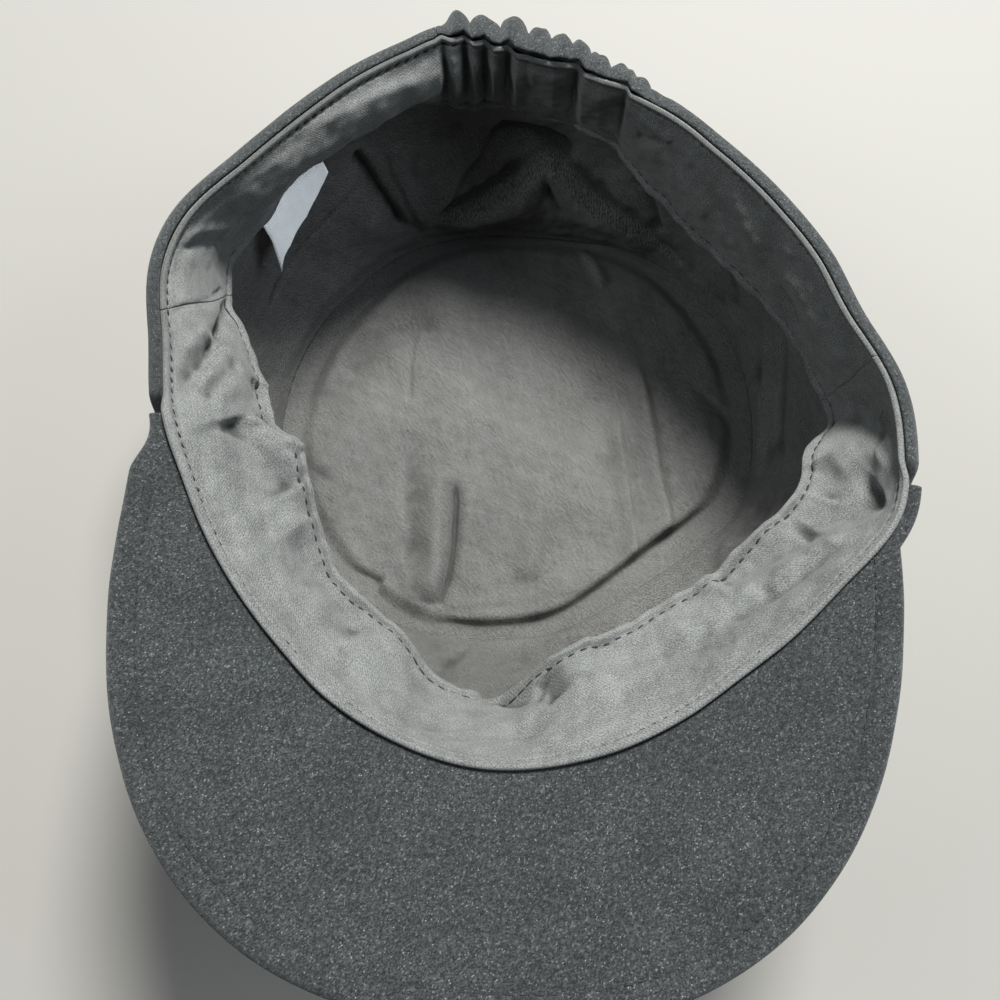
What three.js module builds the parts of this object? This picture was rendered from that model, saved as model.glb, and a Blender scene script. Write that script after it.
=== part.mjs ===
// A soft wool cadet cap, laid upside down on the flat top of its crown with the head opening up.
// Millimetres, +Z up, peak towards -Y. The origin is the centre of the crown's top, on the surface
// that it rests on. Angles are in degrees round the cap: 0 is its right side as seen from above,
// 90 the gathered back, 180 the left side and 270 the front with the peak.
import * as THREE from "three";

// Cloth
const WOOL = 2.0;
const HEM = 3.7; // the outer band's edge is turned in, two layers thick
const LINING_CLOTH = 1.0;
const SWEATBAND_CLOTH = 1.2;
const LABEL_CLOTH = 1.0;
const GAP = 0.3; // clearance between neighbouring pieces
const SLIT = 0.1; // degrees left open at each side of an upright seam

// Crown top, an oval disc
const TOP_HALF_WIDTH = 80;
const TOP_HALF_LENGTH = 75;
const TOP_ROUNDNESS = 2.15; // exponent of the oval, where 2 is an ellipse
const CROWN_EDGE_Z = 0.6; // the side panels stop just above the surface
const LINING_EDGE_Z = WOOL + GAP;
const CROWN_LEVELS = 5;
const SEAM_HOLD = 14; // folds die out over this height above the crown top's seam

// Walls
const RIM_CENTRE_Y = -15;
const OUTER_BAND_HEIGHT = 38;
const HEM_HEIGHT = 10;
const HEM_ROUNDING = 1;
const RIM_EDGE = 4.0; // from the sweatband's folded edge out to the wool's outer face

// Peak, with an outline that is an oval as seen from above
const PEAK_CENTRE = new THREE.Vector2(0.5, -50);
const PEAK_HALF_WIDTH = 91;
const PEAK_LENGTH = 110; // from that centre to the front
const PEAK_ROUNDNESS = 2.4;
const PEAK_THICKNESS = 4.0;
const PEAK_SLOPE = 0.4; // rise per millimetre outwards
const PEAK_START = 190;
const PEAK_END = 345;
const PEAK_DROP = 1.0; // its upper face starts this far below the rim
const PEAK_EDGE_ROUNDING = 1.2;
const PEAK_STATIONS = [0, 0.15, 0.4, 0.7, 0.95, 1]; // shares of the way from the rim outwards

// Sweatband, as lengths down the cloth from its folded edge
const SWEATBAND_WIDTH = 33;
const SWEATBAND_STATIONS = [
  { along: 0, leanShare: 0.6 },
  { along: 7, leanShare: 0.6 },
  { along: 14, leanShare: 0.85 },
  { along: SWEATBAND_WIDTH, leanShare: 1.02 },
];
const LEFT_SEAM = 174; // at the folded edge
const LEFT_SEAM_SLANT = 14; // degrees that the left seam runs back on its way to the free edge
const SLANT_REACH = 20; // degrees
const RIGHT_SEAM = 5;
const SWEATBAND_FOLD_IN = 3; // how deep it folds in between the puffs of the gathered back

// Gathered back
const GATHER_START = 60;
const GATHER_END = 105;
const GATHER_FADE = 4;
const GATHER_AT_SEAM = 0.35; // share of the fullness that is left at the seam with the crown

// Upright seams of the crown's sides
const FRONT_SEAM = 270;
const BACK_SEAM = 85;

// Care label, sewn to the back of the sweatband
const LABEL_START = 129;
const LABEL_END = 146;
const LABEL_TOP_ALONG = 29; // down the sweatband from its folded edge
const LABEL_STATIONS = [
  { inwards: 0, down: 0 },
  { inwards: -0.8, down: 4.5 },
  { inwards: 0.1, down: 10 },
  { inwards: 2, down: 17 },
];

const RING_STEP = 5;
const GATHER_STEP = 1.25;

// The opening's rim: radius of the sweatband's folded edge about the rim's centre, its height,
// and how far the wool wall bellies out halfway down.
const RIM = [
  { angle: 0, radius: 92, height: 91, belly: 4 },
  { angle: 25, radius: 84, height: 88, belly: 5 },
  { angle: 50, radius: 82, height: 88, belly: 5 },
  { angle: 75, radius: 86, height: 88, belly: 6 },
  { angle: 100, radius: 97, height: 88, belly: 9 },
  { angle: 125, radius: 93, height: 88, belly: 11 },
  { angle: 155, radius: 94, height: 88, belly: 7 },
  { angle: 180, radius: 88, height: 88, belly: 4 },
  { angle: 205, radius: 84, height: 88, belly: 4 },
  { angle: 235, radius: 87, height: 88, belly: 3 },
  { angle: 270, radius: 95, height: 88, belly: 3 },
  { angle: 300, radius: 92, height: 88, belly: 3 },
  { angle: 320, radius: 91, height: 90, belly: 3 },
  { angle: 340, radius: 95, height: 93, belly: 4 },
];

// How far the sweatband leans in from upright, in degrees, as it hangs from the rim. At the back
// it leans out against the slack wall.
const SWEATBAND_LEAN = [
  { angle: 0, lean: 14 },
  { angle: 14, lean: 3 },
  { angle: 30, lean: 9 },
  { angle: 58, lean: 10 },
  { angle: 67, lean: 4 },
  { angle: 77, lean: -10 },
  { angle: 92, lean: -11 },
  { angle: 101, lean: -4 },
  { angle: 113, lean: -9 },
  { angle: 123, lean: -9 },
  { angle: 131, lean: -12 },
  { angle: 140, lean: -7 },
  { angle: 150, lean: -1 },
  { angle: 160, lean: 14 },
  { angle: 172, lean: 36 },
  { angle: 188, lean: 46 },
  { angle: 200, lean: 56 },
  { angle: 228, lean: 45 },
  { angle: 247, lean: 50 },
  { angle: 262, lean: 34 },
  { angle: 272, lean: 38 },
  { angle: 287, lean: 60 },
  { angle: 315, lean: 51 },
  { angle: 340, lean: 42 },
];

// Folds of the slack crown: where, how far each reaches in degrees and in height, and how far it
// stands out, or in where that is negative.
const CROWN_FOLDS = [
  { angle: 92, z: 20, wide: 26, tall: 9, out: -7 },
  { angle: 88, z: 42, wide: 24, tall: 9, out: 4 },
  { angle: 128, z: 26, wide: 12, tall: 16, out: -4 },
  { angle: 205, z: 32, wide: 14, tall: 14, out: -3 },
  { angle: 250, z: 24, wide: 16, tall: 10, out: -2 },
  { angle: 325, z: 30, wide: 16, tall: 12, out: -3 },
];

// Puffs of the gathered back: each stands out between two valleys.
const PUFFS = [
  { angle: 64.5, halfWidth: 2.6, out: 2.5 },
  { angle: 69.0, halfWidth: 2.4, out: 3.5 },
  { angle: 73.5, halfWidth: 2.4, out: 3.5 },
  { angle: 78.0, halfWidth: 2.4, out: 4.5 },
  { angle: 82.8, halfWidth: 2.6, out: 4.0 },
  { angle: 87.6, halfWidth: 2.8, out: 5.0 },
  { angle: 92.6, halfWidth: 2.7, out: 5.5 },
  { angle: 97.5, halfWidth: 2.5, out: 4.5 },
  { angle: 101.8, halfWidth: 2.2, out: 5.0 },
];

const COLOURS = { wool: 0x27292b, sweatband: 0x56595a, lining: 0x3b3a3b, label: 0xe4e2dc };
const ROUGHNESS = { wool: 0.95, sweatband: 0.75, lining: 0.85, label: 0.65 };

const radians = THREE.MathUtils.degToRad;
const smooth = (t) => THREE.MathUtils.smoothstep(t, 0, 1);
const outward = (angle) => new THREE.Vector3(Math.cos(radians(angle)), Math.sin(radians(angle)), 0);
const wrap = (angle) => THREE.MathUtils.euclideanModulo(angle, 360);
const turnFrom = (angle, centre) => wrap(angle - centre + 180) - 180;

// A column of a table at an angle, on a smooth curve through its rows and round again.
function tableAt(rows, column, angle) {
  const at = wrap(angle);
  const row = (k) => {
    const turns = Math.floor(k / rows.length);
    const found = rows[k - turns * rows.length];
    return { angle: found.angle + 360 * turns, value: found[column] };
  };
  const i = rows.findLastIndex((found) => found.angle <= at);
  const [before, low, high, after] = [row(i - 1), row(i), row(i + 1), row(i + 2)];
  const span = high.angle - low.angle;
  const slopeLow = ((high.value - before.value) / (high.angle - before.angle)) * span;
  const slopeHigh = ((after.value - low.value) / (after.angle - low.angle)) * span;
  const t = (at - low.angle) / span;
  const bend = 2 * (low.value - high.value) + slopeLow + slopeHigh;
  const pull = 3 * (high.value - low.value) - 2 * slopeLow - slopeHigh;
  return low.value + t * (slopeLow + t * (pull + t * bend));
}

// Distance from the origin to the crown top's seam.
function topRadius(angle) {
  const across = Math.abs(Math.cos(radians(angle))) / TOP_HALF_WIDTH;
  const along = Math.abs(Math.sin(radians(angle))) / TOP_HALF_LENGTH;
  return (across ** TOP_ROUNDNESS + along ** TOP_ROUNDNESS) ** (-1 / TOP_ROUNDNESS);
}

const rimHeight = (angle) => tableAt(RIM, "height", angle);
const seamHeight = (angle) => rimHeight(angle) - OUTER_BAND_HEIGHT;

// The outer band ends at the rim, and under the peak's root where there is a peak.
function bandTop(angle) {
  const at = wrap(angle);
  const hidden = smooth((at - PEAK_START + RING_STEP) / RING_STEP);
  const shown = smooth((at - PEAK_END) / RING_STEP);
  return rimHeight(at) - (hidden - shown) * (PEAK_DROP + PEAK_THICKNESS + GAP);
}

// A point measured from the rim: so far in from the sweatband's folded edge, so far below it.
function rimPoint(angle, inset, drop) {
  const radius = tableAt(RIM, "radius", angle) - inset;
  const centre = new THREE.Vector3(0, RIM_CENTRE_Y, rimHeight(angle) - drop);
  return centre.addScaledVector(outward(angle), radius);
}

// A point of the wool wall at height z, so far inside its outer face.
function wallPoint(angle, z, depth) {
  const top = rimPoint(angle, -RIM_EDGE, 0);
  const share = (z - CROWN_EDGE_Z) / (top.z - CROWN_EDGE_Z);
  let out = tableAt(RIM, "belly", angle) * 4 * share * (1 - share) - depth;
  for (const fold of CROWN_FOLDS) {
    const across = turnFrom(angle, fold.angle) / fold.wide;
    const up = (z - fold.z) / fold.tall;
    out += fold.out * Math.exp(-across * across - up * up) * smooth(z / SEAM_HOLD);
  }
  const point = outward(angle).multiplyScalar(topRadius(angle));
  return point.lerp(top, share).addScaledVector(outward(angle), out).setZ(z);
}

// 1 in the gathered back, fading to 0 at its ends and beyond.
const gathered = (angle) =>
  smooth((angle - GATHER_START) / GATHER_FADE) * smooth((GATHER_END - angle) / GATHER_FADE);

// How far the gathered back stands out at an angle.
function puffOut(angle) {
  const bulges = PUFFS.map((puff) => puff.out * (1 - ((angle - puff.angle) / puff.halfWidth) ** 2));
  return gathered(angle) * Math.max(0, ...bulges);
}

// The angles from start to end, with the whole steps that lie between them.
function anglesBetween(start, end, step) {
  const angles = [start];
  for (let k = Math.floor(start / step) + 1; k * step < end - SLIT; k += 1) {
    angles.push(k * step);
  }
  return [...angles, end];
}

// The same with an upright seam at both ends, and finer steps in the gathered back.
function panelAngles(start, end) {
  const finer = anglesBetween(GATHER_START, GATHER_END, GATHER_STEP);
  return anglesBetween(start + SLIT, end - SLIT, RING_STEP).flatMap((angle) => {
    if (angle === GATHER_START) return finer;
    return angle > GATHER_START && angle <= GATHER_END ? [] : [angle];
  });
}

// The heights that the crown's wool and its lining share, from the wool's lower edge up.
function crownHeights(angle) {
  const step = (seamHeight(angle) - GAP - LINING_EDGE_Z) / CROWN_LEVELS;
  const above = Array.from({ length: CROWN_LEVELS + 1 }, (_, k) => LINING_EDGE_Z + k * step);
  return [CROWN_EDGE_Z, ...above];
}

// A cloth wall. Each section is a row of point pairs across the cloth, outer then inner, from its
// lower edge up, and the sections follow each other anticlockwise round the cap.
function clothWall(sections, closed) {
  const corners = [];
  const panel = (a, b, c, d) => corners.push(a, b, c, a, c, d);
  const last = sections[0].length - 1;
  sections.forEach((here, k) => {
    if (!closed && k === sections.length - 1) return;
    const next = sections[(k + 1) % sections.length];
    for (let j = 0; j < last; j += 1) {
      panel(here[j][0], next[j][0], next[j + 1][0], here[j + 1][0]);
      panel(here[j][1], here[j + 1][1], next[j + 1][1], next[j][1]);
    }
    panel(here[0][1], next[0][1], next[0][0], here[0][0]);
    panel(here[last][0], next[last][0], next[last][1], here[last][1]);
  });
  if (!closed) {
    const [first, end] = [sections[0], sections[sections.length - 1]];
    for (let j = 0; j < last; j += 1) {
      panel(first[j][0], first[j + 1][0], first[j + 1][1], first[j][1]);
      panel(end[j][1], end[j + 1][1], end[j + 1][0], end[j][0]);
    }
  }
  const geometry = new THREE.BufferGeometry().setFromPoints(corners);
  geometry.computeVertexNormals();
  return geometry;
}

// One side of the crown, from the top's seam up to the outer band.
function crownSide(start, end) {
  const sections = anglesBetween(start + SLIT, end - SLIT, RING_STEP).map((angle) =>
    crownHeights(angle).map((z) => [wallPoint(angle, z, 0), wallPoint(angle, z, WOOL)]),
  );
  return clothWall(sections, false);
}

// A stretch of the outer band, with its edge turned in at the rim.
function outerBand(start, end, step, fullness) {
  const sections = anglesBetween(start + SLIT, end - SLIT, step).map((angle) => {
    const seam = seamHeight(angle);
    const top = bandTop(angle);
    const hem = top - HEM_HEIGHT;
    const rows = [
      { z: seam, outer: 0, inner: WOOL },
      { z: (seam + hem) / 2, outer: 0, inner: WOOL },
      { z: hem, outer: 0, inner: WOOL },
      { z: hem + GAP, outer: 0, inner: HEM },
      { z: top - HEM_ROUNDING, outer: 0, inner: HEM },
      { z: top, outer: HEM_ROUNDING, inner: HEM - HEM_ROUNDING },
    ];
    return rows.map(({ z, outer, inner }) => {
      const out = fullness(angle, (z - seam) / OUTER_BAND_HEIGHT);
      return [wallPoint(angle, z, outer - out), wallPoint(angle, z, inner - out)];
    });
  });
  return clothWall(sections, false);
}

const noFullness = () => 0;
const gatherFullness = (angle, up) =>
  puffOut(angle) * THREE.MathUtils.lerp(GATHER_AT_SEAM, 1, smooth(up));

// The sweatband's outer face at an angle, as stations down the cloth from its folded edge.
function hang(angle) {
  const lean = radians(tableAt(SWEATBAND_LEAN, "lean", angle));
  let inset = 0;
  let drop = 0;
  return SWEATBAND_STATIONS.map(({ along, leanShare }, k) => {
    const tilt = lean * leanShare;
    const length = k > 0 ? along - SWEATBAND_STATIONS[k - 1].along : 0;
    inset += length * Math.sin(tilt);
    drop += length * Math.cos(tilt);
    return { along, inset, drop, tilt };
  });
}

// The angle that the sweatband's cloth has moved to so far down, because its left seam slants.
function slantedAngle(angle, along) {
  const near = Math.exp(-((turnFrom(angle, LEFT_SEAM) / SLANT_REACH) ** 2));
  return angle - (LEFT_SEAM_SLANT * near * along) / SWEATBAND_WIDTH;
}

// A stretch of the sweatband, which hangs from the rim and leans in to its free edge.
function sweatband(start, end) {
  const sections = panelAngles(start, end).map((angle) => {
    const fold = gathered(angle) * Math.max(0, SWEATBAND_FOLD_IN - puffOut(angle));
    const rows = SWEATBAND_STATIONS.map(({ along }, k) => {
      const at = slantedAngle(angle, along);
      const { inset, drop, tilt } = hang(at)[k];
      const across = SWEATBAND_CLOTH * Math.cos(tilt);
      const up = SWEATBAND_CLOTH * Math.sin(tilt);
      return [rimPoint(at, inset + fold, drop), rimPoint(at, inset + fold + across, drop - up)];
    });
    return rows.reverse();
  });
  return clothWall(sections, false);
}

// The side lining, close inside the wool up to the band's turned-in edge.
function liningSide() {
  const outer = WOOL + GAP;
  const angles = anglesBetween(0, 360, RING_STEP).slice(0, -1);
  const sections = angles.map((angle) => {
    const hem = bandTop(angle) - HEM_HEIGHT;
    const heights = [...crownHeights(angle).slice(1), (seamHeight(angle) + hem) / 2, hem - GAP];
    return heights.map((z) => [wallPoint(angle, z, outer), wallPoint(angle, z, outer + LINING_CLOTH)]);
  });
  return clothWall(sections, true);
}

// A flat oval of the crown top's outline, so far in from its seam.
function topDisc(inset, low, thickness) {
  const outline = anglesBetween(0, 360, RING_STEP)
    .slice(0, -1)
    .map((angle) => outward(angle).multiplyScalar(topRadius(angle) - inset))
    .map((point) => new THREE.Vector2(point.x, point.y));
  const shape = new THREE.Shape(outline);
  const disc = new THREE.ExtrudeGeometry(shape, { depth: thickness, bevelEnabled: false });
  return disc.translate(0, 0, low);
}

// How far the peak reaches from its root at an angle: halving finds where the line outwards from
// the rim leaves the peak's outline.
function peakReach(angle) {
  const inside = (distance) => {
    const point = rimPoint(angle, -GAP - distance, 0);
    const across = Math.abs(point.x - PEAK_CENTRE.x) / PEAK_HALF_WIDTH;
    const along = Math.abs(point.y - PEAK_CENTRE.y) / PEAK_LENGTH;
    return across ** PEAK_ROUNDNESS + along ** PEAK_ROUNDNESS < 1;
  };
  let reach = 0;
  for (let part = PEAK_LENGTH / 2; part > GAP / 10; part /= 2) {
    if (inside(reach + part)) reach += part;
  }
  return Math.max(reach, RIM_EDGE - GAP);
}

// The peak rises outwards from its root, which lies between the outer band and the sweatband.
function peak() {
  const sections = anglesBetween(PEAK_START, PEAK_END, RING_STEP).map((angle) => {
    const reach = peakReach(angle);
    return PEAK_STATIONS.map((share) => {
      const out = share * reach;
      const rounding = share === 1 ? PEAK_EDGE_ROUNDING : 0;
      const drop = PEAK_DROP - PEAK_SLOPE * out;
      return [
        rimPoint(angle, -GAP - out, drop + PEAK_THICKNESS - rounding),
        rimPoint(angle, -GAP - out, drop + rounding),
      ];
    });
  });
  return clothWall(sections, false);
}

// The care label hangs from the back of the sweatband, its end leaning a little into the hollow.
function careLabel() {
  const sections = anglesBetween(LABEL_START, LABEL_END, RING_STEP).map((angle) => {
    const [upper, lower] = hang(angle).slice(-2);
    const share = (LABEL_TOP_ALONG - upper.along) / (lower.along - upper.along);
    const inset = THREE.MathUtils.lerp(upper.inset, lower.inset, share) - GAP - LABEL_CLOTH;
    const drop = THREE.MathUtils.lerp(upper.drop, lower.drop, share);
    return [...LABEL_STATIONS]
      .reverse()
      .map(({ inwards, down }) => [
        rimPoint(angle, inset + inwards, drop + down),
        rimPoint(angle, inset + inwards + LABEL_CLOTH, drop + down),
      ]);
  });
  return clothWall(sections, false);
}

const cap = new THREE.Group();

function add(name, cloth, geometry) {
  const material = new THREE.MeshStandardMaterial({
    color: COLOURS[cloth],
    roughness: ROUGHNESS[cloth],
    metalness: 0,
  });
  const mesh = new THREE.Mesh(geometry, material);
  mesh.name = name;
  cap.add(mesh);
}

const liningInset = WOOL + LINING_CLOTH + 2 * GAP;

add("crown_top", "wool", topDisc(WOOL + GAP, 0, WOOL));
add("crown_side_left", "wool", crownSide(BACK_SEAM, FRONT_SEAM));
add("crown_side_right", "wool", crownSide(FRONT_SEAM, BACK_SEAM + 360));
add("outer_band", "wool", outerBand(GATHER_END, GATHER_START + 360, RING_STEP, noFullness));
add("back_gather", "wool", outerBand(GATHER_START, GATHER_END, GATHER_STEP, gatherFullness));
add("peak", "wool", peak());
add("sweatband_front", "sweatband", sweatband(LEFT_SEAM, RIGHT_SEAM + 360));
add("sweatband_back", "sweatband", sweatband(RIGHT_SEAM, LEFT_SEAM));
add("lining_side", "lining", liningSide());
add("lining_top", "lining", topDisc(liningInset, LINING_EDGE_Z, LINING_CLOTH));
add("care_label", "label", careLabel());

export default cap;
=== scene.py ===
import math

import bmesh
import bpy
import numpy as np
from mathutils import Matrix, Vector


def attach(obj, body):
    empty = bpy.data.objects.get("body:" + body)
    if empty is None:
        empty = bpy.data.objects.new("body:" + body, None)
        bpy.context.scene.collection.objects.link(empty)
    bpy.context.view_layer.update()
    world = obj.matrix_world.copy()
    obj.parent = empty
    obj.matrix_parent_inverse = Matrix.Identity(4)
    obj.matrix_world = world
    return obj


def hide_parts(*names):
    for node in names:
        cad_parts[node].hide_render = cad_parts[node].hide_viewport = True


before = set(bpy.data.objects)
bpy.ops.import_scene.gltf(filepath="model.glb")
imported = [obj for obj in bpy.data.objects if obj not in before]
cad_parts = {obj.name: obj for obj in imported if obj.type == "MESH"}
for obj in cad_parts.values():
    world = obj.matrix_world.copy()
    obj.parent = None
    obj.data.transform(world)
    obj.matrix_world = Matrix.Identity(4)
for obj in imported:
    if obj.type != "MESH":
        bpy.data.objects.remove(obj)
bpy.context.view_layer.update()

# A wool cadet cap laid upside down on its flat crown top, with the opening and its lining up.
# Shapes are worked out in millimetres round the cap: 0 degrees is its right side as seen from
# above, 90 the gathered back, 180 the left side and 270 the front with the peak.
MM = 0.001
ROUND = 1.5  # about how many millimetres a degree is along the cloth, for rumples and folds

WOOL = 2.0  # thickness
GAP = 0.3  # between pieces
SEAM_GAP = 0.05  # the same at a seam, in degrees
MERGE = 0.002  # points nearer than this are one
RIM_CENTRE_Y = -15
RIM_EDGE = 4.0  # from the sweatband's folded edge out to the wool's outer face
CROWN_EDGE_Z = 0.6

BAND_HEIGHT = 38
HEM = 3.7  # thickness of the outer band's turned-in edge
HEM_HEIGHT = 10
HEM_GROOVE = 7.5  # its groove, down from the rim
HEM_RISE = 0.1  # how far the wool stands above the rim
HEM_LEAN = 0.35  # how far its edge leans in over the gap

BAND_CLOTH = 1.5  # thickness of the sweatband
SWEATBAND_WIDTH = 33
FACE_ROWS = 0.66  # the share of its mesh's rows that lie on its face
FOLD_DROP = 0.3  # how far its fold lies below the rim, away from the peak
FOLD_PLEATS = 0.35  # the share of the pleats that reaches the fold
RIM_ROW = 2.2  # its stitches along the rim, down from the folded edge
RIM_ROW_SIZES = {"pitch": 3.1, "length": 1.9, "width": 0.45, "slant": 0.25}
PIT_PITCH = 2.6 / 1.55  # degrees between the pits that the rim's stitches draw in
FREE_ROW = 2.5  # its stitches along the free edge, up from it
FREE_ROW_SIZES = {"pitch": 3.3, "length": 2.3, "width": 0.75}

LINING_CLOTH = 0.6  # thickness
LINING_FOOT_Z = 3.7  # where the side lining ends on the crown's lining
LINING_TOP_Z = 2.7  # where the crown's lining lies flat at its edge
HELD_RADIUS = 72  # the side lining's foot and its tuck come in to here
FOOT_PUCKERS = 107  # round the side lining's foot

TOP_HALF_WIDTH = 80
TOP_HALF_LENGTH = 75
TOP_ROUNDNESS = 2.15

PEAK_CENTRE = (0.5, -50)
PEAK_HALF_WIDTH = 91
PEAK_LENGTH = 110
PEAK_ROUNDNESS = 2.4
PEAK_THICKNESS = 4.0
PEAK_SLOPE = 0.4  # how far it rises for each millimetre out
PEAK_START = 190
PEAK_END = 345
PEAK_DROP = 1.0  # how far its root lies below the rim
PEAK_SEAM = 6.0  # its topstitched seam, in from the edge
PEAK_ROW = (204, 334)  # degrees where its stitches start and end
PEAK_ROW_SIZES = {"pitch": 3.0, "length": 1.9, "width": 0.45}

LEFT_SEAM = 172.8  # at the folded edge
LEFT_SEAM_SLANT = 14  # degrees that it runs back on its way to the free edge
SLANT_REACH = 20  # degrees to each side that run aslant with it
RIGHT_SEAM = 5
FRONT_SEAM = 270
BACK_SEAM = 85
GATHER_START = 60
GATHER_END = 105

# Rows of (angle, value), on smooth curves round the cap
RIM_RADIUS = [
    (0, 92), (13, 85), (25, 83.5), (37, 82), (52, 82), (62, 84), (72, 86), (82, 89), (90, 91),
    (97, 95), (104, 98.5), (111, 96), (119, 94), (131, 91.5), (143, 91.5), (156, 95), (165, 94),
    (178, 88), (191, 86), (202, 84), (214, 84), (225, 85), (235, 87), (244, 90), (254, 92.5),
    (268, 95), (284, 94), (297, 92), (307, 90.5), (316, 91), (327, 92.5), (340, 97), (350, 95),
]
RIM_HEIGHT = [(0, 91), (25, 88), (90, 88), (180, 88), (270, 88), (300, 88), (320, 90), (340, 93)]
WALL_BELLY = [  # how far the wall stands out at half its height
    (0, 4), (25, 5), (50, 5), (75, 6), (100, 9), (125, 11), (155, 7), (180, 4), (205, 4),
    (235, 3), (270, 3), (320, 3), (340, 4),
]
SWEATBAND_LEAN = [  # degrees that it leans in from upright
    (0, 12), (9, 5), (16, 2), (25, 6), (39, 10), (50, 10.5), (60, 7), (66, 3), (71, -4),
    (77, -10), (83, -9), (91, -12.5), (96, -8), (101, -3), (107, -7), (113, -10), (119, -8),
    (125, -10), (131, -13), (137, -10.5), (143, -5), (149, -2), (154, 2), (160, 15), (166, 29),
    (172, 37), (184, 47), (190, 50), (197, 63), (204, 61), (211, 57), (222, 47), (230, 44),
    (248, 50), (258, 36), (271, 38), (280, 56), (287, 63), (294, 59), (313, 51), (321, 50),
    (338, 49), (347, 42), (352, 38),
]
SWEATBAND_ROLL = [  # degrees added to that lean near the rim, and taken off it below
    (0, -14), (8, 2), (24, 10), (50, 10), (66, 2), (98, 2), (106, 30), (112, 40), (134, 36),
    (145, 20), (152, 4), (160, 6), (168, 20), (176, 30), (192, 30), (203, 4), (214, 0),
    (332, 0), (343, -18), (352, -24),
]
LINING_TUCK = [  # how far the side lining comes in over the crown's lining at its foot
    (0, 1), (40, 1), (62, 2), (76, 5), (86, 6), (94, 6), (104, 6), (114, 6), (124, 6), (140, 7),
    (158, 6), (176, 4), (195, 2), (240, 1), (257, 2), (270, 4), (284, 6), (300, 10), (314, 11),
    (325, 9), (334, 5), (345, 2),
]

# Soft folds of the slack crown: angle, height, reach round, reach up, how far they stand out
CROWN_FOLDS = [
    (92, 20, 26, 9, -7), (88, 42, 24, 9, 4), (128, 26, 12, 16, -4),
    (205, 32, 14, 14, -3), (250, 24, 16, 10, -2), (325, 30, 16, 12, -3),
]

# Puffs of the gathered back: angle, half of their width, how far they stand out
PUFFS = [
    (70.6, 1.8, 1.6), (74, 2.4, 2.8), (78.6, 2.2, 3), (82, 1.9, 5),
    (85.2, 2, 5.8), (88.8, 2.1, 6.2), (92.8, 2.4, 7.4), (97.3, 2.5, 5), (101.8, 2.2, 5.2),
]

# Pleats that the elastic draws in the back of the sweatband: angle, how far in
PLEATS = [
    (58, 0), (64, 0.8), (69, 1.8), (71.6, 1.9), (72.6, -2.6), (74, -1.2), (77, 1.6),
    (80.6, 2.6), (81.9, -2.8), (83.6, -0.8), (86, 1.2), (89.7, 1.5), (90.6, 0.9), (91.4, 1.5),
    (92.7, 2.6), (93.8, -2.8), (95.2, 0.6), (96.4, 2.6), (97.7, -2.6), (98.8, 0.8), (99.7, 2.3),
    (100.9, -2.4), (102, 0.9), (103.2, 2.0), (104.5, -1.6), (105.7, 0.8), (108, 0.6), (112, 0),
]

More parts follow.
